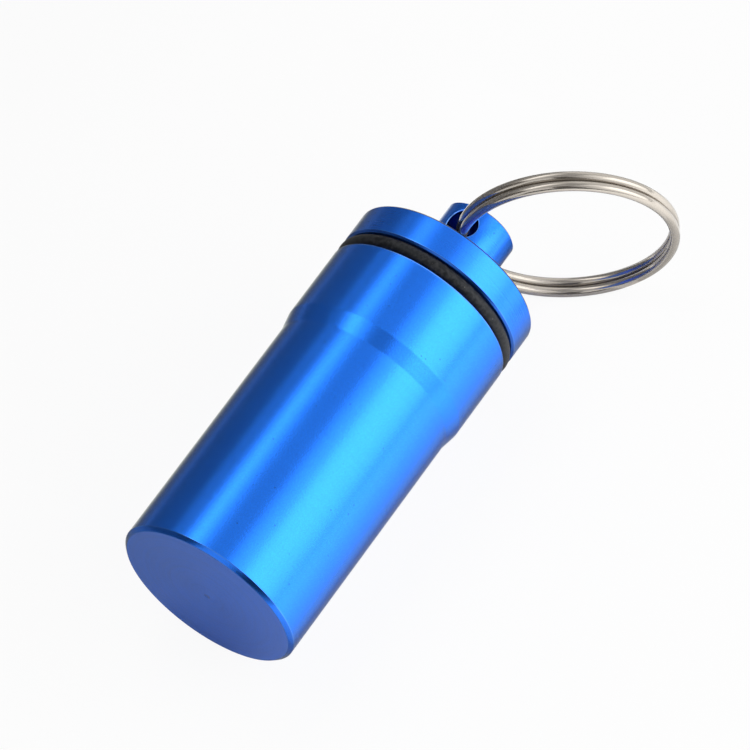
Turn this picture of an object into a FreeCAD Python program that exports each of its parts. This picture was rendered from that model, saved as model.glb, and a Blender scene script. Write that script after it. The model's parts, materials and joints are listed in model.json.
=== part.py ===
import FreeCAD, Part
import math
import os

# Pill fob key ring lying on its side on a table, in millimetres and degrees.
# The fob's axis runs along +X from the closed base to the key ring, and +Z is up.

# Container
bore_diameter = 18.1
wall = 1.95
base_thickness = 2.0
container_length = 42.1
mouth_flare = 0.4
mouth_length = 9.2
cone_length = 2.1
base_chamfer = 0.45
rim_chamfer = 0.2
mouth_lead = 0.25
floor_chamfer = 0.5

# Screw thread, whose ridges stand on the two root cylinders made here
thread_depth = 0.55
thread_clearance = 0.1
thread_pitch = 1.0
run_out_turns = 1.5
plug_length = 7.0
plug_lead = 0.4

# Seal ring
seal_section = 1.75
seal_clearance = 0.02
seal_sides = 20

# Cap
flange_inset = 0.05
flange_thickness = 4.0
flange_chamfer = 0.25
boss_diameter = 8.6
boss_height = 7.3
boss_chamfer = 0.25
neck_clearance = 0.1

# Cross hole for the key ring
hole_diameter = 3.6
hole_bridge = 1.0
hole_edge = 0.12

# Split ring, swung aside in the hole and leaning over as far as the hole lets it
ring_diameter = 25.0
wire_diameter = 1.15
wire_sides = 16
turn_gap = 0.06
ring_swing = 56.5
ring_offset = 0.66
ring_clearance = 0.08
table_clearance = 0.05
split_angle = 203.0
jog_angle = 36.0
end_gap_angle = 4.0

# Sizes that follow from the ones above
bore_radius = bore_diameter / 2
body_radius = bore_radius + wall
mouth_radius = body_radius + mouth_flare
cone_end = container_length - mouth_length
cone_start = cone_end - cone_length
mouth_root_radius = bore_radius + thread_depth
plug_root_radius = bore_radius - thread_clearance
plug_end = container_length - plug_length
thread_run_out = run_out_turns * thread_pitch
seal_radius = seal_section / 2
seal_center_radius = mouth_radius - seal_radius
seal_center = container_length + seal_clearance + seal_radius
neck_radius = mouth_radius - seal_section - seal_clearance
neck_start = container_length + neck_clearance
flange_start = seal_center + seal_radius + seal_clearance
flange_end = flange_start + flange_thickness
flange_radius = mouth_radius - flange_inset
boss_radius = boss_diameter / 2
boss_end = flange_end + boss_height
hole_radius = hole_diameter / 2
hole_x = boss_end - hole_bridge - hole_radius
wire_radius = wire_diameter / 2
ring_radius = ring_diameter / 2 - wire_radius
turn_pitch = wire_diameter + turn_gap
ring_reach = ring_radius - ring_offset

ORIGIN = FreeCAD.Vector(0, 0, 0)
X_AXIS = FreeCAD.Vector(1, 0, 0)
Z_AXIS = FreeCAD.Vector(0, 0, 1)


def turned(corners):
    """Revolve a closed outline of (x, radius) corners about the X axis."""
    points = [FreeCAD.Vector(x, radius, 0) for x, radius in corners]
    outline = Part.makePolygon(points + points[:1])
    return Part.Face(outline).revolve(ORIGIN, X_AXIS, 360)


def round_section(sides, flat_radius):
    """Corners of the many-sided section of a round bar, with its flats square to both axes."""
    corner_radius = flat_radius / math.cos(math.pi / sides)
    turns = [(i + 0.5) * 2 * math.pi / sides for i in range(sides)]
    return [(corner_radius * math.cos(turn), corner_radius * math.sin(turn)) for turn in turns]


def make_container():
    """Bored cup with a chamfered base, a short cone and a wider mouth."""
    thread_bottom = plug_end - thread_run_out
    return turned([
        (0, 0),
        (0, body_radius - base_chamfer),
        (base_chamfer, body_radius),
        (cone_start, body_radius),
        (cone_end, mouth_radius),
        (container_length - rim_chamfer, mouth_radius),
        (container_length, mouth_radius - rim_chamfer),
        (container_length, mouth_root_radius + mouth_lead),
        (container_length - mouth_lead, mouth_root_radius),
        (thread_bottom, mouth_root_radius),
        (thread_bottom - thread_depth, bore_radius),
        (base_thickness + floor_chamfer, bore_radius),
        (base_thickness, bore_radius - floor_chamfer),
        (base_thickness, 0),
    ])


def make_seal():
    """Rubber ring squeezed between the rim and the flange."""
    section = round_section(seal_sides, seal_radius)
    return turned([(seal_center + along, seal_center_radius + out) for along, out in section])


def make_cap():
    """Plug, seal neck, flange and boss turned in one, with the cross hole drilled and deburred."""
    cap = turned([
        (plug_end, 0),
        (plug_end, plug_root_radius - plug_lead),
        (plug_end + plug_lead, plug_root_radius),
        (neck_start, plug_root_radius),
        (neck_start, neck_radius),
        (flange_start, neck_radius),
        (flange_start, flange_radius - flange_chamfer),
        (flange_start + flange_chamfer, flange_radius),
        (flange_end - flange_chamfer, flange_radius),
        (flange_end, flange_radius - flange_chamfer),
        (flange_end, boss_radius),
        (boss_end - boss_chamfer, boss_radius),
        (boss_end, boss_radius - boss_chamfer),
        (boss_end, 0),
    ])
    drill_bottom = FreeCAD.Vector(hole_x, 0, -boss_diameter)
    drilled = cap.cut(Part.makeCylinder(hole_radius, 2 * boss_diameter, drill_bottom, Z_AXIS))
    return drilled.makeChamfer(hole_edge, hole_mouths(drilled)).Solids[0]


def hole_mouths(cap):
    """The two edges where the cross hole breaks out of the boss."""
    reach = hole_radius + hole_edge
    mouths = []
    for edge in cap.Edges:
        box = edge.BoundBox
        near_hole = abs(box.XMin - hole_x) < reach and abs(box.XMax - hole_x) < reach
        if near_hole and box.ZMin * box.ZMax > 0 and box.XLength > hole_radius:
            mouths.append(edge)
    return mouths


def ring_point(angle, radius, level):
    """Point of the split ring's wire, with the cross hole at 180 degrees."""
    turn = math.radians(angle)
    return FreeCAD.Vector(radius * math.cos(turn), radius * math.sin(turn), level)


def arc_from_tangent(start, tangent, end):
    """Arc that leaves start along tangent and reaches end, with its tangent there."""
    chord = end - start
    along = FreeCAD.Vector(chord).normalize()
    aside = (tangent - along * tangent.dot(along)).normalize()
    half_turn = tangent.getAngle(along)
    middle = start + chord * 0.5 + aside * (chord.Length / 2 * math.tan(half_turn / 2))
    end_tangent = along * (2 * tangent.dot(along)) - tangent
    return Part.Arc(start, middle, end).toShape(), end_tangent


def ring_path():
    """Edges of nearly two turns of wire, joined by one jog between the levels."""
    quarter = 90.0
    low = -turn_pitch / 2
    high = turn_pitch / 2
    first = split_angle + jog_angle / 2 + end_gap_angle
    jog_start = split_angle - jog_angle / 2 + 360
    jog_end = jog_start + jog_angle
    last = split_angle - jog_angle / 2 - end_gap_angle + 720
    jog_radius = math.hypot(ring_radius, turn_pitch / 2)
    stops = [(first + quarter * i, ring_radius, low) for i in range(1, 4) if first + quarter * i < jog_start]
    stops.append((jog_start, ring_radius, low))
    stops.append((split_angle + 360, jog_radius, 0))
    stops.append((jog_end, ring_radius, high))
    stops += [(jog_end + quarter * i, ring_radius, high) for i in range(1, 4) if jog_end + quarter * i < last]
    stops.append((last, ring_radius, high))
    here = ring_point(first, ring_radius, low)
    tangent = ring_point(first + quarter, 1, 0)
    edges = []
    for angle, radius, level in stops:
        there = ring_point(angle, radius, level)
        edge, tangent = arc_from_tangent(here, tangent, there)
        edges.append(edge)
        here = there
    return edges


def least_gap(edges):
    """Least gap between the wire and itself, measured on points over 60 degrees of turn apart."""
    per_edge = 40
    turn_apart = 60
    points = []
    length = 0
    for edge in edges:
        for point in edge.discretize(per_edge)[:-1]:
            points.append((length, point))
            length += edge.Length / (per_edge - 1)
    apart = ring_radius * math.radians(turn_apart)
    gaps = [
        (p - q).Length
        for i, (s, p) in enumerate(points)
        for t, q in points[i + 1:]
        if t - s > apart
    ]
    return min(gaps) - wire_diameter


def ring_lean():
    """Angle that the ring leans by, until its wire all but meets the mouths of the hole."""
    bow = ring_radius - math.sqrt(ring_radius ** 2 - boss_radius ** 2)
    room = hole_radius - wire_radius - ring_clearance
    side_room = math.sqrt(room ** 2 - (bow - ring_offset) ** 2) - turn_pitch / 2
    return math.degrees(math.atan(side_room / boss_radius))


def make_split_ring():
    """One unbroken wire swept along the ring's path, put through the cross hole, leaning and swung aside."""
    edges = ring_path()
    print("split ring: least gap of the wire to itself", round(least_gap(edges), 3))
    start = edges[0].valueAt(edges[0].FirstParameter)
    outward = FreeCAD.Vector(start.x, start.y, 0).normalize()
    section = round_section(wire_sides, wire_radius * math.cos(math.pi / wire_sides))
    corners = [start + outward * out + Z_AXIS * level for out, level in section]
    outline = Part.makePolygon(corners + corners[:1])
    ring = Part.Wire(edges).makePipeShell([outline], True, False)
    swept = Part.Face(outline).Area * sum(edge.Length for edge in edges)
    print("split ring: volume over section times length", round(ring.Volume / swept, 5))
    ring.rotate(ORIGIN, X_AXIS, 90 + ring_lean())
    ring.translate(FreeCAD.Vector(ring_reach, 0, 0))
    ring.rotate(ORIGIN, Z_AXIS, -ring_swing)
    ring.translate(FreeCAD.Vector(hole_x, 0, 0))
    return ring


def ring_foot(roll):
    """Height of the ring's lowest point over the fob's axis, with the cap turned back by roll."""
    swing = math.radians(ring_swing)
    lean = math.radians(ring_lean())
    turn = math.radians(roll)
    rise = ring_reach * math.sin(swing) * math.sin(turn)
    facing = math.cos(swing) * math.cos(lean) * math.sin(turn) - math.sin(lean) * math.cos(turn)
    return rise - ring_radius * math.sqrt(1 - facing ** 2) - turn_pitch / 2 * abs(facing) - wire_radius


def resting_roll():
    """Angle that the cap is turned back by, about the fob's axis, when its ring stands on the table."""
    steepest = 80.0
    close_enough = 1e-9
    low = -steepest
    high = steepest
    while high - low > close_enough:
        middle = (low + high) / 2
        if ring_foot(middle) < table_clearance - mouth_radius:
            low = middle
        else:
            high = middle
    return low


container = make_container()
seal = make_seal()
cap = make_cap()
split_ring = make_split_ring()
roll = resting_roll()
for piece in (cap, split_ring):
    piece.rotate(ORIGIN, X_AXIS, -roll)

# The origin is under the middle of the whole object's outline, on the table.
outline = Part.Compound([container, cap, split_ring]).optimalBoundingBox(False)
to_frame = FreeCAD.Vector(-outline.Center.x, -outline.Center.y, mouth_radius)
pieces = {"container": container, "seal_ring": seal, "screw_cap": cap, "split_ring": split_ring}

os.makedirs("parts", exist_ok=True)
for name, piece in pieces.items():
    piece.translate(to_frame)
    piece.exportStep("parts/" + name + ".step")
    print(name, piece.ShapeType, "valid", piece.isValid(), "volume", round(piece.Volume, 2))
hole_center = to_frame + FreeCAD.Vector(hole_x, 0, 0)
print("base centre", tuple(round(v, 4) for v in to_frame))
print("hole centre", tuple(round(v, 4) for v in hole_center), "roll", round(roll, 4), "lean", round(ring_lean(), 4))
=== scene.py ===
import json
import math

import bmesh
import bpy
from mathutils import Matrix, Vector


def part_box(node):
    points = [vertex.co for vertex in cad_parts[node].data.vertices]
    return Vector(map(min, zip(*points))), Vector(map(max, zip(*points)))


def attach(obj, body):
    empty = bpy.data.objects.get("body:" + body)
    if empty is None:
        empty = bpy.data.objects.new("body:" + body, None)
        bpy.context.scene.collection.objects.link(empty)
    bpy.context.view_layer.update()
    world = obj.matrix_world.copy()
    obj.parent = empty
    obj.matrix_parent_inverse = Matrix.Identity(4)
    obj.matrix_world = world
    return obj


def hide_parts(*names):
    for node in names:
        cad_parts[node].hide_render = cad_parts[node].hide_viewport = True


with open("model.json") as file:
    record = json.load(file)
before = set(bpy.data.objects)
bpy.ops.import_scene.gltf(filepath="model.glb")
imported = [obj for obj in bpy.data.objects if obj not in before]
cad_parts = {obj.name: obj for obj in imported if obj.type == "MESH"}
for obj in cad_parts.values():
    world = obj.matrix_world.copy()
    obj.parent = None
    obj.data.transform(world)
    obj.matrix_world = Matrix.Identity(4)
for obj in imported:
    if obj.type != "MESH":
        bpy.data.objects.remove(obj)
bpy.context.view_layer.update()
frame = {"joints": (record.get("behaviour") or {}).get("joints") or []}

# The fob is drawn in millimetres along its own axis, with x = 0 on the base, and put in the frame at the end.
MM = 0.001
TURN = 2 * math.pi
joints = {joint["name"]: joint for joint in frame["joints"]}
container_low, container_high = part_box("container")
seal_low, seal_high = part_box("seal_ring")
cap_low, cap_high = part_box("screw_cap")
base_centre = Vector((container_low.x, 0, 0)) + (container_low + container_high) / 2 * Vector((0, 1, 1))


def along(point):
    """Millimetres from the base face to a point of the frame, along the fob's axis."""
    return (point.x - base_centre.x) / MM


# Container
mouth_radius = (container_high.z - container_low.z) / 2 / MM
container_length = along(container_high)
mouth_flare = 0.4
mouth_length = 9.2
cone_length = 2.1
body_radius = mouth_radius - mouth_flare
cone_end = container_length - mouth_length
cone_start = cone_end - cone_length
base_chamfer = 0.45
rim_chamfer = 0.2
base_thickness = 2.0
bore_radius = 9.05
floor_chamfer = 0.5
mouth_lead = 0.25
centre_mark_radius = 0.3
centre_mark_depth = 0.06

# Seal ring
seal_radius = (seal_high.x - seal_low.x) / 2 / MM
seal_centre = along((seal_low + seal_high) / 2)
seal_clearance = 0.02

# Cap
plug_end = along(cap_low)
plug_lead = 0.4
boss_end = along(cap_high)
neck_clearance = 0.1
neck_start = container_length + neck_clearance
neck_radius = mouth_radius - 2 * seal_radius - seal_clearance
flange_thickness = 4.0
flange_inset = 0.05
flange_chamfer = 0.25
flange_start = seal_centre + seal_radius + seal_clearance
flange_end = flange_start + flange_thickness
flange_radius = mouth_radius - flange_inset
boss_radius = 4.3
boss_chamfer = 0.25

# Screw thread
thread_depth = 0.55
thread_clearance = 0.1
thread_pitch = 1.0
thread_crest = 0.16
thread_foot = 0.8
thread_sink = 0.05
thread_stub = 0.04
run_out_turns = 0.6
relief_turns = 1.5
mouth_thread_lift = 0.9
mouth_thread_turns = 7.0
plug_thread_turns = 5.5
plug_thread_lag_turns = 1.5
mouth_root_radius = bore_radius + thread_depth
plug_root_radius = bore_radius - thread_clearance
plug_crest_radius = mouth_root_radius - thread_clearance
thread_bottom = plug_end - relief_turns * thread_pitch
mouth_thread_start = thread_bottom + mouth_thread_lift

# Cross hole
hole_x = along(Vector(joints["ring_swing"]["pos_m"]))
hole_radius = 1.8
hole_break = 0.16

# Split ring
ring_diameter = 25.0
wire_radius = 0.575
turn_gap = 0.06
ring_offset = 0.66
ring_radius = ring_diameter / 2 - wire_radius
turn_pitch = 2 * wire_radius + turn_gap
ring_reach = ring_radius - ring_offset
ring_swing = math.radians(56.5)
ring_lean = math.radians(7.0414)
split_angle = math.radians(203)
jog_angle = math.radians(24)
end_gap_angle = math.radians(2.5)

# How far the edges are broken
mark_break = 0.1
base_break = 0.06
cone_break = 0.1
rim_side_break = 0.14
rim_top_break = 0.08
mouth_break = 0.05
floor_break = 0.2
plug_break = 0.06
flange_break = 0.08
boss_break = 0.08
wire_end_break = 0.1

# How far the edges are lightened, partly as wear and partly as a painted highlight line, from 0 to 1
base_face_wear_and_highlight = 0.2
base_side_wear_and_highlight = 0.4
rim_side_wear_and_highlight = 0.45
rim_top_wear_and_highlight = 0.4
mouth_wear_and_highlight = 0.5
plug_wear_and_highlight = 0.5
flange_start_wear_and_highlight = 0.25
flange_end_wear_and_highlight = 0.1
boss_wear_and_highlight = 0.1
hole_wear_and_highlight = 0.9

# How far the chamfers and the hole are darkened with painted shade, from 0 to 1
base_painted_shade = 0.35
flange_start_painted_shade = 0.6
flange_end_painted_shade = 0.9
boss_painted_shade = 0.5
hole_painted_shade = 0.6

# Fineness of the meshes
lathe_steps = 192
boss_rows = 50
window_steps = 5
window_angle = math.radians(30)
window_reach = 2.25
break_steps = 3
wire_end_steps = 2
thread_steps = 96
wire_sides = 32
wire_step = math.radians(2)
sharp_angle = math.radians(40)
merge_distance = 1e-4
axis_radius = 1e-3

# Studio, in metres. A mirror shows the room's levels from square to the fob, at 0, to in line with it, at 1.
floor_size = 1.2
floor_white = 0.93
floor_mirrored = 0.05
room_light = 0.1
room_mirrored = [(0, 0.44), (0.4, 0.72), (0.8, 1.3), (1, 1.3)]
even_run = [(0, 1.0), (1, 1.0)]

# Where the drawings go in the frame, the cap turned back until its ring stands on the table
hinge = Vector(joints["ring_swing"]["axis"])
roll = math.atan2(hinge.y, hinge.z)
plug_thread_start = mouth_thread_start + (plug_thread_lag_turns - roll / TURN) * thread_pitch
container_place = Matrix.Translation(base_centre) @ Matrix.Scale(MM, 4)
cap_place = container_place @ Matrix.Rotation(-roll, 4, "X")
ring_place = (
    cap_place
    @ Matrix.Translation((hole_x, 0, 0))
    @ Matrix.Rotation(-ring_swing, 4, "Z")
    @ Matrix.Translation((ring_reach, 0, 0))
    @ Matrix.Rotation(math.pi / 2 + ring_lean, 4, "X")
)


def new_skin():
    """Empty mesh that carries lighter edges, partly wear and partly painted highlight, and painted shade in
    the crevices.
    """
    bm = bmesh.new()
    bm.verts.layers.float.new("wear_and_highlight")
    bm.verts.layers.float.new("painted_shade")
    return bm


def draw_profile(bm, corners):
    """Wire through corners beside the X axis, each an x, a radius, the break of its edge and how far it is
    lightened, partly as wear and partly as painted highlight.
    """
    wear_and_highlight = bm.verts.layers.float["wear_and_highlight"]
    verts = [bm.verts.new((x, radius, 0)) for x, radius, _, _ in corners]
    for start, end in zip(verts, verts[1:]):
        bm.edges.new((start, end))
    for vert, (x, radius, edge_break, wear_and_highlight_amount) in zip(verts, corners):
        if edge_break:
            corner = Vector((x, radius, 0))
            rounded = bmesh.ops.bevel(
                bm, geom=[vert], offset=edge_break, affect="VERTICES",
                segments=break_steps, profile=0.5, material=-1,
            )["verts"]
            nearest = sorted(rounded, key=lambda point: (point.co - corner).length)
            # The rounded edge is lightened, partly as wear and partly as a painted highlight.
            for inner in nearest[:break_steps - 1]:
                inner[wear_and_highlight] = wear_and_highlight_amount


def paint_shade_on_chamfer(bm, start, end, share):
    """Darken the sloping points of a drawn profile between two stations with painted shade."""
    painted_shade = bm.verts.layers.float["painted_shade"]
    for vert in bm.verts:
        if start + merge_distance < vert.co.x < end - merge_distance:
            vert[painted_shade] = share


def turn_profile(bm):
    """Spin the drawn profile about the X axis into a closed skin."""
    bmesh.ops.spin(
        bm, geom=bm.verts[:] + bm.edges[:], cent=(0, 0, 0), axis=(1, 0, 0), angle=TURN,
        steps=lathe_steps, use_merge=True,
    )
    close_skin(bm)


def close_skin(bm):
    """Merge what meets and point the faces outwards."""
    bmesh.ops.remove_doubles(bm, verts=bm.verts[:], dist=merge_distance)
    bmesh.ops.recalc_face_normals(bm, faces=bm.faces[:])


def map_turned(bm):
    """UV map with u once round the axis and v in millimetres along the profile."""
    layer = bm.loops.layers.uv.new("turned")
    for face in bm.faces:
        middle = face.calc_center_median()
        facing = math.atan2(middle.z, middle.y)
        for loop in face.loops:
            place = loop.vert.co
            radius = math.hypot(place.y, place.z)
            turn = math.atan2(place.z, place.y) - facing if radius > axis_radius else 0
            turn = (turn + math.pi) % TURN - math.pi
            loop[layer].uv = ((facing + turn) / TURN, place.x + radius)


def finish_piece(name, bm, place, body, material, node=None):
    """Put a drawn piece in the frame, shade it and let it ride on its body."""
    bmesh.ops.transform(bm, matrix=place, verts=bm.verts[:])
    mesh = bpy.data.meshes.new(name)
    bm.to_mesh(mesh)
    bm.free()
    mesh.shade_smooth()
    mesh.set_sharp_from_angle(angle=sharp_angle)
    mesh.materials.append(material)
    piece = bpy.data.objects.new(name, mesh)
    bpy.context.scene.collection.objects.link(piece)
    weighted = piece.modifiers.new("flat faces stay flat", "WEIGHTED_NORMAL")
    weighted.keep_sharp = True
    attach(piece, body)
    if node:
        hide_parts(node)


def make_container():
    """Bored cup with a chamfered base, a short cone and a wider mouth."""
    bm = new_skin()
    draw_profile(bm, [
        (centre_mark_depth, 0, 0, 0),
        (0, centre_mark_radius, mark_break, 0),
        (0, body_radius - base_chamfer, base_break, base_face_wear_and_highlight),
        (base_chamfer, body_radius, base_break, base_side_wear_and_highlight),
        (cone_start, body_radius, cone_break, 0),
        (cone_end, mouth_radius, cone_break, 0),
        (container_length - rim_chamfer, mouth_radius, rim_side_break, rim_side_wear_and_highlight),
        (container_length, mouth_radius - rim_chamfer, rim_top_break, rim_top_wear_and_highlight),
        (container_length, mouth_root_radius + mouth_lead, mouth_break, mouth_wear_and_highlight),
        (container_length - mouth_lead, mouth_root_radius, mouth_break, 0),
        (thread_bottom, mouth_root_radius, 0, 0),
        (thread_bottom - thread_depth, bore_radius, mouth_break, 0),
        (base_thickness + floor_chamfer, bore_radius, floor_break, 0),
        (base_thickness, bore_radius - floor_chamfer, floor_break, 0),
        (base_thickness, 0, 0, 0),
    ])
    paint_shade_on_chamfer(bm, 0, base_chamfer, base_painted_shade)
    turn_profile(bm)
    map_turned(bm)
    return bm


def make_seal():
    """Round rubber ring between the rim and the flange, with painted shade towards both."""
    painted_shade_power = 3
    bm = new_skin()
    bmesh.ops.create_circle(
        bm, segments=wire_sides, radius=seal_radius,
        matrix=Matrix.Translation((seal_centre, mouth_radius - seal_radius, 0)),
    )
    # Painted shade grows towards the rim and the flange.
    painted_shade = bm.verts.layers.float["painted_shade"]
    for vert in bm.verts:
        vert[painted_shade] = (abs(vert.co.x - seal_centre) / seal_radius) ** painted_shade_power
    turn_profile(bm)
    map_turned(bm)
    return bm


def open_window(bm, side):
    """Delete the faces of the boss round a mouth of the cross hole and give the edges of that window."""
    window = set()
    for face in bm.faces:
        middle = face.calc_center_median()
        turn = math.atan2(side * middle.z, middle.y) - math.pi / 2
        if abs(turn) < window_angle and abs(middle.x - hole_x) < window_reach:
            window.add(face)
    inside = {edge for face in window for edge in face.edges}
    rim = [edge for edge in inside if sum(face in window for face in edge.link_faces) == 1]
    bmesh.ops.delete(bm, geom=list(window), context="FACES")
    return rim


def draw_in(bm, rim, share, radius, depth):
    """Extrude a loop round the cross hole a share of the way to a circle, sunk under the boss's side."""
    grown = bmesh.ops.extrude_edge_only(bm, edges=rim)["geom"]
    verts = {item for item in grown if isinstance(item, bmesh.types.BMVert)}
    for vert in verts:
        turn = math.atan2(vert.co.y, vert.co.x - hole_x)
        circle = Vector((hole_x + radius * math.cos(turn), radius * math.sin(turn), vert.co.z))
        place = vert.co.lerp(circle, share)
        place.z = math.copysign(math.sqrt((boss_radius - depth) ** 2 - place.y ** 2), place.z)
        vert.co = place
    return [item for item in grown if isinstance(item, bmesh.types.BMEdge) and verts.issuperset(item.verts)]


def make_boss_side(bm):
    """Side of the boss, rolled up from a grid, with the cross hole drilled through and deburred."""
    end = boss_end - boss_chamfer
    length = end - flange_end
    bmesh.ops.create_grid(
        bm, x_segments=boss_rows, y_segments=lathe_steps, size=0.5,
        matrix=Matrix.Translation(((flange_end + end) / 2, 0, 0)) @ Matrix.Diagonal((length, TURN, 1, 1)),
    )
    for vert in bm.verts:
        turn = vert.co.y
        vert.co = (vert.co.x, boss_radius * math.cos(turn), boss_radius * math.sin(turn))
    bmesh.ops.remove_doubles(bm, verts=bm.verts[:], dist=merge_distance)
    wear_and_highlight = bm.verts.layers.float["wear_and_highlight"]
    painted_shade = bm.verts.layers.float["painted_shade"]
    mouths = []
    for side in (-1, 1):
        rim = open_window(bm, side)
        for i in range(window_steps):
            rim = draw_in(bm, rim, 1 / (window_steps - i), hole_radius + hole_break, 0)
        for i in range(1, break_steps + 1):
            lean = math.pi / 2 * i / break_steps
            radius = hole_radius + hole_break * (1 - math.sin(lean))
            rim = draw_in(bm, rim, 1, radius, hole_break * (1 - math.cos(lean)))
            # The deburred edge is lightened, partly as wear and partly as a painted highlight, and the hole's
            # wall carries painted shade.
            for vert in {vert for edge in rim for vert in edge.verts}:
                vert[wear_and_highlight] = hole_wear_and_highlight * (i < break_steps)
                vert[painted_shade] = hole_painted_shade * (i == break_steps)
        mouths += rim
    bmesh.ops.bridge_loops(bm, edges=mouths)


def make_cap():
    """Plug, seal neck, flange and boss turned in one, with the cross hole drilled and deburred."""
    bm = new_skin()
    make_boss_side(bm)
    turned = new_skin()
    draw_profile(turned, [
        (plug_end + centre_mark_depth, 0, 0, 0),
        (plug_end, centre_mark_radius, mark_break, 0),
        (plug_end, plug_root_radius - plug_lead, plug_break, plug_wear_and_highlight),
        (plug_end + plug_lead, plug_root_radius, plug_break, plug_wear_and_highlight),
        (neck_start, plug_root_radius, 0, 0),
        (neck_start, neck_radius, 0, 0),
        (flange_start, neck_radius, 0, 0),
        (flange_start, flange_radius - flange_chamfer, flange_break, 0),
        (flange_start + flange_chamfer, flange_radius, flange_break, flange_start_wear_and_highlight),
        (flange_end - flange_chamfer, flange_radius, flange_break, flange_end_wear_and_highlight),
        (flange_end, flange_radius - flange_chamfer, flange_break, 0),
        (flange_end, boss_radius, 0, 0),
    ])
    draw_profile(turned, [
        (boss_end - boss_chamfer, boss_radius, 0, 0),
        (boss_end, boss_radius - boss_chamfer, boss_break, boss_wear_and_highlight),
        (boss_end, centre_mark_radius, mark_break, 0),
        (boss_end - centre_mark_depth, 0, 0, 0),
    ])
    # Painted shade on the seal neck under the flange and on the chamfers of the flange and boss.
    painted_shade = turned.verts.layers.float["painted_shade"]
    for vert in turned.verts:
        vert[painted_shade] = vert.co.y < neck_radius + merge_distance and neck_start <= vert.co.x <= flange_start
    paint_shade_on_chamfer(turned, flange_start, flange_start + flange_chamfer, flange_start_painted_shade)
    paint_shade_on_chamfer(turned, flange_end - flange_chamfer, flange_end, flange_end_painted_shade)
    paint_shade_on_chamfer(turned, boss_end - boss_chamfer, boss_end, boss_painted_shade)
    turn_profile(turned)
    skin = bpy.data.meshes.new("turned skin")
    turned.to_mesh(skin)
    turned.free()
    bm.from_mesh(skin)
    bpy.data.meshes.remove(skin)
    close_skin(bm)
    map_turned(bm)
    return bm


def make_thread(root_radius, crest_radius, start, turns):
    """Closed helical ridge on a root cylinder, with its ends run out to nothing."""
    bm = bmesh.new()
    sunk_radius = root_radius + math.copysign(thread_sink, root_radius - crest_radius)
    outline = [
        (-thread_foot / 2, sunk_radius),
        (-thread_crest / 2, crest_radius),
        (thread_crest / 2, crest_radius),
        (thread_foot / 2, sunk_radius),
    ]
    section = [bm.verts.new((start + x, radius, 0)) for x, radius in outline]
    edges = [bm.edges.new((section[i - 1], section[i])) for i in range(len(section))]
    bmesh.ops.spin(
        bm, geom=section + edges, cent=(0, 0, 0), axis=(1, 0, 0), angle=turns * TURN,
        steps=round(turns * thread_steps), dvec=(thread_pitch / thread_steps, 0, 0),
    )
    bmesh.ops.holes_fill(bm, edges=[edge for edge in bm.edges if edge.is_boundary])
    for vert in bm.verts:
        radius = math.hypot(vert.co.y, vert.co.z)
        turn = (vert.co.x - start) / thread_pitch
        share = min(max(min(turn, turns - turn) / run_out_turns, thread_stub), 1)
        if abs(radius - crest_radius) < merge_distance:
            factor = (sunk_radius + (crest_radius - sunk_radius) * share) / radius
            vert.co = (vert.co.x, vert.co.y * factor, vert.co.z * factor)
    bmesh.ops.recalc_face_normals(bm, faces=bm.faces[:])
    map_turned(bm)
    return bm


def wire_level(angle):
    """Height of the wire over the ring's middle plane, low on the first turn and high on the second."""
    jog_start = split_angle - jog_angle / 2 + TURN
    share = min(max((angle - jog_start) / jog_angle, 0), 1)
    return turn_pitch * (share * share * (3 - 2 * share) - 0.5)


def make_ring():
    """One unbroken wire of nearly two turns, with the cross hole at half a turn."""
    bm = bmesh.new()
    place_on_wire = bm.verts.layers.float_vector.new("wire_place")
    first = split_angle + jog_angle / 2 + end_gap_angle
    last = split_angle - jog_angle / 2 - end_gap_angle + 2 * TURN
    steps = round((last - first) / wire_step)
    step = (last - first) / steps
    section = bmesh.ops.create_circle(
        bm, segments=wire_sides, radius=wire_radius,
        matrix=Matrix.Rotation(first, 4, "Z")
        @ Matrix.Translation((ring_radius, 0, wire_level(first)))
        @ Matrix.Rotation(math.pi / 2, 4, "X"),
    )["verts"]
    for i, vert in enumerate(section):
        turn = i * TURN / wire_sides
        vert[place_on_wire] = (0, math.cos(turn), math.sin(turn))
    end = section + list({edge for vert in section for edge in vert.link_edges})
    for i in range(steps):
        angle = first + i * step
        end = bmesh.ops.spin(
            bm, geom=end, cent=(0, 0, 0), axis=(0, 0, 1), angle=step, steps=1,
            dvec=(0, 0, wire_level(angle + step) - wire_level(angle)),
        )["geom_last"]
        for vert in end:
            if isinstance(vert, bmesh.types.BMVert):
                vert[place_on_wire].x = ring_radius * (i + 1) * step
    bmesh.ops.holes_fill(bm, edges=[edge for edge in bm.edges if edge.is_boundary])
    ends = [edge for edge in bm.edges if any(len(face.verts) > 4 for face in edge.link_faces)]
    bmesh.ops.bevel(
        bm, geom=ends, offset=wire_end_break, affect="EDGES",
        segments=wire_end_steps, profile=0.5, material=-1,
    )
    bmesh.ops.recalc_face_normals(bm, faces=bm.faces[:])
    return bm


def make_camera():
    """Camera at the photograph's place, looking down on the fob and rolled a little."""
    azimuth = math.radians(-49.63)
    elevation = math.radians(58.17)
    camera_roll = math.radians(8.36)
    distance = 699.6 * MM
    aim_right = 18.23 * MM
    aim_up = 24.03 * MM
    half_frame_pixels = 375
    focal_pixels = 6450
    data = bpy.data.cameras.new("camera")
    data.angle = 2 * math.atan(half_frame_pixels / focal_pixels)
    camera = bpy.data.objects.new("camera", data)
    camera.matrix_world = (
        Matrix.Translation(base_centre)
        @ Matrix.Rotation(azimuth, 4, "Z")
        @ Matrix.Rotation(math.pi / 2 - elevation, 4, "X")
        @ Matrix.Rotation(-camera_roll, 4, "Z")
        @ Matrix.Translation((aim_right, aim_up, distance))
    )
    bpy.context.scene.collection.objects.link(camera)
    bpy.context.scene.camera = camera


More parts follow.
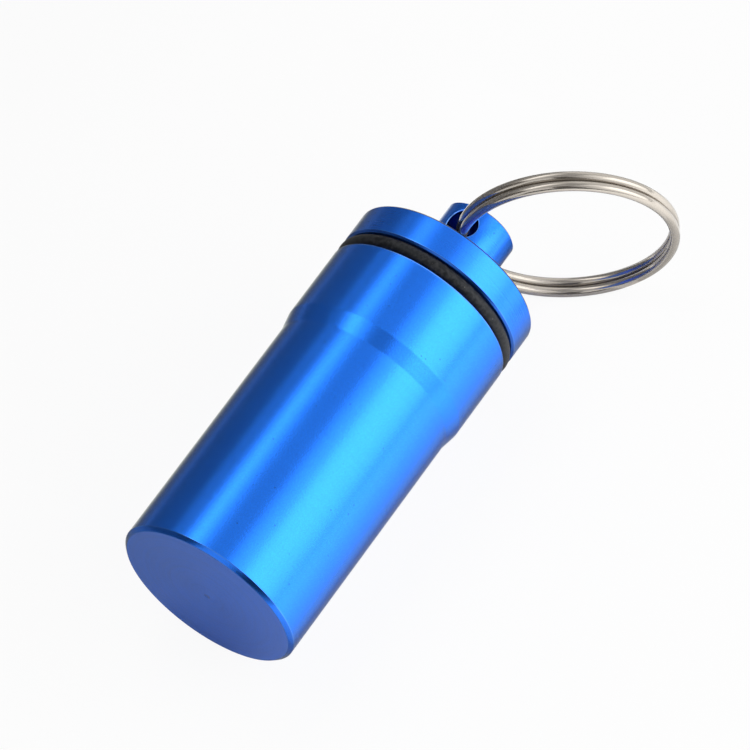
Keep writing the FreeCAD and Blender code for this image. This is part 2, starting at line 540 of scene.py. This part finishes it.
def feed(tree, value, socket):
    """Link a socket, or set a plain value, on another socket."""
    if isinstance(value, bpy.types.NodeSocket):
        tree.links.new(value, socket)
    else:
        socket.default_value = value


def add_node(tree, kind, settings=(), **inputs):
    """Node with its settings, and its inputs given by their names with spaces as underscores."""
    node = tree.nodes.new(kind)
    for name, value in dict(settings).items():
        setattr(node, name, value)
    for name, value in inputs.items():
        feed(tree, value, node.inputs[name.replace("_", " ")])
    return node


def calculate(tree, operation, *values):
    """Math node on sockets or plain numbers."""
    node = add_node(tree, "ShaderNodeMath", {"operation": operation})
    for socket, value in zip(node.inputs, values):
        feed(tree, value, socket)
    return node.outputs[0]


def weighted_sum(tree, start, *terms):
    """A start plus other values, each times its share."""
    total = start
    for value, share in terms:
        total = calculate(tree, "MULTIPLY_ADD", value, share, total)
    return total


def spread(tree, value, low, high):
    """The part of a value from low to high, stretched to 0 to 1."""
    return add_node(tree, "ShaderNodeMapRange", Value=value, From_Min=low, From_Max=high).outputs[0]


def ramp(tree, value, stops):
    """Number that follows (place, level) stops, the first at 0 and the last at 1."""
    node = add_node(tree, "ShaderNodeValToRGB", Fac=value)
    elements = node.color_ramp.elements
    for place, _ in stops[1:-1]:
        elements.new(place)
    for element, (_, level) in zip(elements, stops):
        element.color = (level, level, level, 1)
    return node.outputs["Color"]


def mix_colours(tree, share, first, second):
    """Mix node between two colours, which may be sockets."""
    node = add_node(tree, "ShaderNodeMix", {"data_type": "RGBA"})
    share_socket, first_socket, second_socket = (node.inputs[i] for i in (0, 6, 7))
    feed(tree, share, share_socket)
    feed(tree, first, first_socket)
    feed(tree, second, second_socket)
    return node.outputs[2]


def cover(tree, share, mask, under, over):
    """Lay a colour over another where a mask stands, at most by a share."""
    return mix_colours(tree, calculate(tree, "MULTIPLY", mask, share), under, over)


def attribute(tree, name):
    """Number that a piece's vertices carry."""
    return add_node(tree, "ShaderNodeAttribute", {"attribute_name": name}).outputs["Fac"]


def new_group(name, inputs, outputs):
    """Shader node group with named number inputs and outputs."""
    tree = bpy.data.node_groups.new(name, "ShaderNodeTree")
    for label, value in inputs.items():
        socket = tree.interface.new_socket(label, in_out="INPUT", socket_type="NodeSocketFloat")
        socket.default_value = value
    for label in outputs:
        tree.interface.new_socket(label, in_out="OUTPUT", socket_type="NodeSocketFloat")
    return tree, tree.nodes.new("NodeGroupInput").outputs, tree.nodes.new("NodeGroupOutput").inputs


def use_group(tree, group, **inputs):
    """Place a node group in a material and give its outputs."""
    return add_node(tree, "ShaderNodeGroup", {"node_tree": group}, **inputs).outputs


def turning_marks_group():
    """Fine rings left by the lathe, spaced in millimetres: a height for the bump and a slower tone."""
    slowness = 0.12
    tree, given, result = new_group("turning marks", {"Spacing": 0.1}, ["Height", "Tone"])
    uv = add_node(tree, "ShaderNodeUVMap", {"uv_map": "turned"})
    parts = add_node(tree, "ShaderNodeSeparateXYZ", Vector=uv.outputs["UV"]).outputs
    turn = calculate(tree, "MULTIPLY", parts["X"], TURN)
    place = add_node(
        tree, "ShaderNodeCombineXYZ",
        X=calculate(tree, "COSINE", turn), Y=calculate(tree, "SINE", turn),
        Z=calculate(tree, "DIVIDE", parts["Y"], given["Spacing"]),
    ).outputs[0]
    fine = add_node(tree, "ShaderNodeTexNoise", Vector=place, Scale=1.0, Detail=3.0, Roughness=0.6)
    slow = add_node(tree, "ShaderNodeTexNoise", Vector=place, Scale=slowness, Detail=2.0, Roughness=0.5)
    feed(tree, fine.outputs["Fac"], result["Height"])
    feed(tree, slow.outputs["Fac"], result["Tone"])
    return tree


def specks_group():
    """Mask of sparse round specks, such as pits or dust, in metres."""
    full_radius = 0.6
    tree, given, result = new_group("specks", {"Spacing": 0.004, "Radius": 0.0002, "Share": 0.3}, ["Mask"])
    place = add_node(tree, "ShaderNodeTexCoord").outputs["Object"]
    cells = add_node(
        tree, "ShaderNodeTexVoronoi", Vector=place, Scale=calculate(tree, "DIVIDE", 1.0, given["Spacing"])
    ).outputs
    distance = calculate(tree, "MULTIPLY", cells["Distance"], given["Spacing"])
    near = calculate(tree, "DIVIDE", distance, given["Radius"])
    dot = add_node(
        tree, "ShaderNodeMapRange", {"interpolation_type": "SMOOTHSTEP"},
        Value=near, From_Min=full_radius, From_Max=1.0, To_Min=1.0, To_Max=0.0,
    ).outputs[0]
    chance = add_node(tree, "ShaderNodeSeparateColor", Color=cells["Color"]).outputs[0]
    chosen = calculate(tree, "LESS_THAN", chance, given["Share"])
    feed(tree, calculate(tree, "MULTIPLY", dot, chosen), result["Mask"])
    return tree


def blotches_group():
    """Unevenness of a finish, from 0 to 1, with its size in metres."""
    tree, given, result = new_group("blotches", {"Size": 0.01}, ["Value"])
    place = add_node(tree, "ShaderNodeTexCoord").outputs["Object"]
    noise = add_node(
        tree, "ShaderNodeTexNoise", Vector=place, Scale=calculate(tree, "DIVIDE", 1.0, given["Size"]),
        Detail=3.0, Roughness=0.55,
    )
    feed(tree, noise.outputs["Fac"], result["Value"])
    return tree


turning_marks = turning_marks_group()
specks = specks_group()
blotches = blotches_group()


def new_material(name):
    """Material with its node tree and the sockets of its shader."""
    material = bpy.data.materials.new(name)
    material.use_nodes = True
    return material, material.node_tree, material.node_tree.nodes["Principled BSDF"].inputs


def faced_mask(tree):
    """Where the lathe has faced a piece square to its axis."""
    normal = add_node(tree, "ShaderNodeTexCoord").outputs["Normal"]
    along_axis = add_node(tree, "ShaderNodeSeparateXYZ", Vector=normal).outputs["X"]
    return spread(tree, calculate(tree, "ABSOLUTE", along_axis), low=0.9, high=1.0)


def anodised_material(name, deep_dye, pale_dye, dullness):
    """Blue dyed oxide on turned metal under a thin clear skin, with lathe rings, grain and pits, faced ends
    dimmed by painted shade, edges lightened partly by wear and partly by painted highlight, and painted shade
    in crevices and the hole.
    """
    pit_dye = (0.004, 0.03, 0.14, 1)
    ring_and_shade_dye = (0.007, 0.056, 0.30, 1)
    wear_and_highlight_dye = (0.34, 0.62, 0.95, 1)
    painted_shade_colour = (0.004, 0.010, 0.04, 1)
    pit_share = 0.5
    ring_and_shade_share = 0.32
    painted_shade_share = 0.9
    ring_tone = 0.45
    uneven_tone = 0.2
    grain_tone = 2.0
    mean_grain = 0.41
    uneven_dullness = 0.05
    ring_dullness = 0.06
    faced_dullness = 0.12
    side_skin = 0.5
    faced_skin = 1.0
    grain_height = 32.0
    bump_distance = 3e-7
    material, tree, shader = new_material(name)
    marks = use_group(tree, turning_marks, Spacing=0.07)
    uneven = use_group(tree, blotches, Size=0.006)["Value"]
    grain = use_group(tree, blotches, Size=0.00017)["Value"]
    pits = use_group(tree, specks, Spacing=0.0012, Radius=0.00012, Share=0.25)["Mask"]
    patches = use_group(tree, blotches, Size=0.003)["Value"]
    wear_and_highlight = calculate(tree, "MULTIPLY", attribute(tree, "wear_and_highlight"), patches)
    faced = faced_mask(tree)
    # Darker lathe rings on the faced ends, partly a real pattern and partly painted shade that dims those
    # ends.
    faced_rings_and_shade = calculate(tree, "MULTIPLY", faced, spread(tree, marks["Tone"], low=0.1, high=0.9))
    tone = weighted_sum(
        tree, -mean_grain * grain_tone,
        (marks["Tone"], ring_tone), (uneven, uneven_tone), (grain, grain_tone),
    )
    dye = mix_colours(tree, tone, deep_dye, pale_dye)
    dye = cover(tree, pit_share, pits, dye, pit_dye)
    # Lighter edges, partly wear and partly a painted highlight line.
    dye = cover(tree, 1.0, wear_and_highlight, dye, wear_and_highlight_dye)
    # Painted shade in the crevices, on the chamfers and in the hole.
    dye = cover(tree, painted_shade_share, attribute(tree, "painted_shade"), dye, painted_shade_colour)
    # Lathe rings and painted shade on the faced ends.
    dye = cover(tree, ring_and_shade_share, faced_rings_and_shade, dye, ring_and_shade_dye)
    rough = weighted_sum(
        tree, dullness,
        (uneven, uneven_dullness), (marks["Height"], ring_dullness), (faced, faced_dullness),
    )
    skin = weighted_sum(tree, side_skin, (faced, faced_skin - side_skin))
    tangent = add_node(tree, "ShaderNodeTangent", {"direction_type": "UV_MAP", "uv_map": "turned"})
    height = weighted_sum(tree, marks["Height"], (grain, grain_height))
    bump = add_node(tree, "ShaderNodeBump", Strength=1.0, Distance=bump_distance, Height=height)
    feed(tree, dye, shader["Base Color"])
    feed(tree, rough, shader["Roughness"])
    feed(tree, skin, shader["Coat Weight"])
    feed(tree, tangent.outputs[0], shader["Tangent"])
    feed(tree, bump.outputs["Normal"], shader["Normal"])
    shader["Metallic"].default_value = 1
    shader["Anisotropic"].default_value = 0.45
    shader["Anisotropic Rotation"].default_value = 0.25
    shader["Specular Tint"].default_value = (0.5, 0.47, 0.25, 1)
    shader["Coat Roughness"].default_value = 0.25
    shader["Coat IOR"].default_value = 1.4
    return material


def rubber_material():
    """Matt black moulded rubber with a little dust, and painted shade towards the crevices."""
    deep_black = (0.001, 0.001, 0.0015, 1)
    pale_black = (0.030, 0.030, 0.032, 1)
    dust_colour = (0.15, 0.135, 0.12, 1)
    painted_shade_colour = (0.003, 0.003, 0.003, 1)
    dust_share = 0.5
    painted_shade_share = 0.9
    dullness = 0.44
    mottled_dullness = 0.2
    bump_distance = 2.5e-5
    material, tree, shader = new_material("black rubber")
    uneven = use_group(tree, blotches, Size=0.0005)["Value"]
    mottled = spread(tree, uneven, low=0.42, high=0.64)
    dust = use_group(tree, specks, Spacing=0.0008, Radius=0.0001, Share=0.6)["Mask"]
    rubber = mix_colours(tree, mottled, deep_black, pale_black)
    rubber = cover(tree, dust_share, dust, rubber, dust_colour)
    # Painted shade towards the crevices.
    rubber = cover(tree, painted_shade_share, attribute(tree, "painted_shade"), rubber, painted_shade_colour)
    bump = add_node(tree, "ShaderNodeBump", Strength=1.0, Distance=bump_distance, Height=uneven)
    feed(tree, rubber, shader["Base Color"])
    feed(tree, weighted_sum(tree, dullness, (mottled, mottled_dullness)), shader["Roughness"])
    feed(tree, bump.outputs["Normal"], shader["Normal"])
    shader["Specular IOR Level"].default_value = 0.28
    shader["Specular Tint"].default_value = (0.85, 0.92, 1, 1)
    return material


def nickel_material():
    """Nickel plate on drawn spring wire, with faint lines along the wire and a few pits."""
    deep_plate = (0.347, 0.314, 0.274, 1)
    pale_plate = (0.488, 0.450, 0.402, 1)
    pit_plate = (0.2, 0.18, 0.16, 1)
    pit_share = 0.6
    line_scale = (0.25, 5.0, 5.0)
    dullness = 0.10
    uneven_dullness = 0.08
    bump_distance = 3e-6
    material, tree, shader = new_material("nickel wire")
    wire = add_node(tree, "ShaderNodeAttribute", {"attribute_name": "wire_place"}).outputs["Vector"]
    stretched = add_node(tree, "ShaderNodeMapping", Vector=wire, Scale=line_scale).outputs[0]
    noise = add_node(tree, "ShaderNodeTexNoise", Vector=stretched, Scale=1.0, Detail=3.0, Roughness=0.6)
    lines = noise.outputs["Fac"]
    uneven = use_group(tree, blotches, Size=0.004)["Value"]
    pits = use_group(tree, specks, Spacing=0.0018, Radius=0.00012, Share=0.3)["Mask"]
    plate = mix_colours(tree, lines, deep_plate, pale_plate)
    plate = cover(tree, pit_share, pits, plate, pit_plate)
    bump = add_node(tree, "ShaderNodeBump", Strength=1.0, Distance=bump_distance, Height=lines)
    feed(tree, plate, shader["Base Color"])
    feed(tree, weighted_sum(tree, dullness, (uneven, uneven_dullness)), shader["Roughness"])
    feed(tree, bump.outputs["Normal"], shader["Normal"])
    shader["Metallic"].default_value = 0.78
    return material


def background_rays(tree):
    """Two masks: rays from the camera, and rays from a mirror or a glass."""
    path = add_node(tree, "ShaderNodeLightPath").outputs
    mirrored = calculate(tree, "MAXIMUM", path["Is Glossy Ray"], path["Is Transmission Ray"])
    return path["Is Camera Ray"], mirrored


def stage_panel(name, place, across, length):
    """Flat staged rectangle with a UV map and a material of its own."""
    bm = bmesh.new()
    bm.loops.layers.uv.new("panel")
    bmesh.ops.create_grid(
        bm, x_segments=1, y_segments=1, size=0.5, calc_uvs=True,
        matrix=place @ Matrix.Diagonal((length, across, 1, 1)),
    )
    mesh = bpy.data.meshes.new(name)
    bm.to_mesh(mesh)
    bm.free()
    mesh.materials.append(new_material(name)[0])
    panel = bpy.data.objects.new(name, mesh)
    bpy.context.scene.collection.objects.link(panel)
    return panel


def make_floor():
    """Wide pale table top that shows nearly white and keeps the fob's shadow."""
    floor = stage_panel("table", Matrix(), floor_size, floor_size)
    tree = floor.active_material.node_tree
    shader = tree.nodes["Principled BSDF"]
    shader.inputs["Base Color"].default_value = (0.9, 0.9, 0.9, 1)
    shader.inputs["Roughness"].default_value = 0.35
    camera, mirrored = background_rays(tree)
    share = calculate(tree, "MULTIPLY", camera, floor_white)
    share = calculate(tree, "MULTIPLY_ADD", mirrored, floor_mirrored, share)
    white = add_node(tree, "ShaderNodeEmission", Color=(1, 1, 1, 1), Strength=1.0)
    mixed = add_node(tree, "ShaderNodeMixShader")
    share_socket, shaded_socket, white_socket = mixed.inputs
    feed(tree, share, share_socket)
    feed(tree, shader.outputs[0], shaded_socket)
    feed(tree, white.outputs[0], white_socket)
    feed(tree, mixed.outputs[0], tree.nodes["Material Output"].inputs["Surface"])


def make_world():
    """White room, seen as white, that shows brighter in a mirror than the light it gives."""
    world = bpy.data.worlds.new("white room")
    world.use_nodes = True
    tree = world.node_tree
    camera, mirrored = background_rays(tree)
    direction = add_node(tree, "ShaderNodeTexCoord").outputs["Generated"]
    along_fob = add_node(tree, "ShaderNodeSeparateXYZ", Vector=direction).outputs["X"]
    shown = ramp(tree, calculate(tree, "ABSOLUTE", along_fob), room_mirrored)
    brighter = calculate(tree, "SUBTRACT", shown, room_light)
    strength = calculate(tree, "MULTIPLY_ADD", mirrored, brighter, room_light)
    background = tree.nodes["Background"].inputs
    background["Color"].default_value = (1, 1, 1, 1)
    feed(tree, calculate(tree, "MAXIMUM", strength, camera), background["Strength"])
    bpy.context.scene.world = world


def facing_fob(azimuth, elevation, distance, shift=0.0, tilt=0.0):
    """Place of a panel that faces the fob from a direction in degrees, shifted along the fob and tilted."""
    return (
        Matrix.Translation((shift, base_centre.y, base_centre.z))
        @ Matrix.Rotation(math.radians(azimuth - 90), 4, "Z")
        @ Matrix.Rotation(math.radians(elevation), 4, "X")
        @ Matrix.Translation((0, distance, 0))
        @ Matrix.Rotation(math.pi / 2, 4, "X")
        @ Matrix.Rotation(math.radians(tilt), 4, "Z")
    )


def add_softbox(name, place, across, length, radiance, rise, run):
    """Softbox out of the camera's sight, with levels from its lower edge to its upper and along it."""
    box = stage_panel(name, place, across, length)
    box.visible_camera = False
    tree = box.active_material.node_tree
    uv = add_node(tree, "ShaderNodeUVMap", {"uv_map": "panel"}).outputs["UV"]
    parts = add_node(tree, "ShaderNodeSeparateXYZ", Vector=uv).outputs
    level = calculate(tree, "MULTIPLY", ramp(tree, parts["Y"], rise), ramp(tree, parts["X"], run))
    strength = calculate(tree, "MULTIPLY", level, radiance)
    emission = add_node(tree, "ShaderNodeEmission", Color=(1, 1, 1, 1), Strength=strength)
    feed(tree, emission.outputs[0], tree.nodes["Material Output"].inputs["Surface"])
    return box


def add_sheet(name, middle, across, length, radiance, rise):
    """Glowing sheet just over the table that shows only in mirrors and casts no shadow."""
    sheet = add_softbox(name, Matrix.Translation(middle), across, length, radiance, rise, even_run)
    sheet.visible_diffuse = False
    sheet.visible_shadow = False


def add_card(name, place, across, length, colour):
    """Dull card that the fob mirrors, out of the camera's sight."""
    card = stage_panel(name, place, across, length)
    card.visible_camera = False
    shader = card.active_material.node_tree.nodes["Principled BSDF"].inputs
    shader["Base Color"].default_value = colour
    shader["Roughness"].default_value = 1
    shader["Specular IOR Level"].default_value = 0


# Finishes
anodised_body = anodised_material(
    "anodised body", deep_dye=(0.0075, 0.170, 0.89, 1), pale_dye=(0.0105, 0.210, 1.0, 1), dullness=0.19
)
anodised_cap = anodised_material(
    "anodised cap", deep_dye=(0.0085, 0.165, 0.86, 1), pale_dye=(0.0115, 0.203, 0.98, 1), dullness=0.23
)
black_rubber = rubber_material()
nickel_wire = nickel_material()

# Pieces
finish_piece(
    "turned_container", make_container(), container_place,
    body="container", material=anodised_body, node="container",
)
finish_piece(
    "mouth_thread", make_thread(mouth_root_radius, bore_radius, mouth_thread_start, mouth_thread_turns),
    container_place, body="container", material=anodised_body,
)
finish_piece(
    "rubber_seal", make_seal(), container_place,
    body="seal", material=black_rubber, node="seal_ring",
)
finish_piece(
    "turned_cap", make_cap(), cap_place,
    body="cap", material=anodised_cap, node="screw_cap",
)
finish_piece(
    "plug_thread", make_thread(plug_root_radius, plug_crest_radius, plug_thread_start, plug_thread_turns),
    cap_place, body="cap", material=anodised_cap,
)
finish_piece(
    "wire_ring", make_ring(), ring_place,
    body="key_ring", material=nickel_wire, node="split_ring",
)

# Table, room, lights and cards
make_floor()
make_world()
add_softbox(
    "right softbox", facing_fob(azimuth=-90, elevation=33.5, distance=0.42, shift=0.05, tilt=-15),
    across=0.6, length=0.7, radiance=3.7,
    rise=[
        (0, 0.72), (0.10, 0.79), (0.26, 0.93), (0.42, 1.0),
        (0.642, 0.93), (0.656, 0.61), (0.80, 0.51), (1, 0.37),
    ],
    run=[(0, 0.9), (0.3, 1.0), (0.55, 0.8), (0.62, 0.45), (1, 0.3)],
)
add_sheet(
    "bounce sheet", (0.04, -0.26, 0.001), across=0.5, length=0.26, radiance=2.25,
    rise=[(0, 1.0), (0.90, 0.98), (0.95, 0.83), (0.98, 0.66), (1, 0.45)],
)
add_sheet(
    "shade sheet", (0.01, 0.038, 0.001), across=0.05, length=0.072, radiance=2.2,
    rise=[(0, 1.0), (0.15, 0.85), (0.25, 0.5), (0.4, 0.12), (1, 0.18)],
)
add_sheet(
    "ring shade sheet", (0.0315, -0.0235, 0.0015), across=0.023, length=0.015, radiance=1.6,
    rise=[(0, 1.0), (0.45, 0.66), (1, 0.44)],
)
add_softbox(
    "back softbox", facing_fob(azimuth=90, elevation=61.5, distance=0.41, shift=0.1),
    across=0.331, length=0.45, radiance=3.2,
    rise=[(0, 0.06), (0.26, 0.30), (0.457, 0.92), (0.543, 0.92), (0.74, 0.47), (1, 0.25)],
    run=[(0, 1.0), (0.45, 1.0), (0.62, 0.9), (0.68, 0.8), (0.76, 0.5), (1, 0.2)],
)
add_card(
    "left card", facing_fob(azimuth=90, elevation=15, distance=0.09, shift=0.02),
    across=0.068, length=0.3, colour=(0.3, 0.3, 0.3, 1),
)
add_card(
    "front card", facing_fob(azimuth=232, elevation=31, distance=0.5),
    across=0.58, length=0.38, colour=(0.08, 0.065, 0.05, 1),
)
add_card(
    "side card", facing_fob(azimuth=132, elevation=27, distance=0.5),
    across=0.46, length=0.46, colour=(0.28, 0.26, 0.24, 1),
)
add_card(
    "low card", facing_fob(azimuth=206, elevation=10, distance=0.5),
    across=0.2, length=0.3, colour=(0.1, 0.09, 0.08, 1),
)
make_camera()
bpy.context.scene.view_settings.view_transform = "Standard"
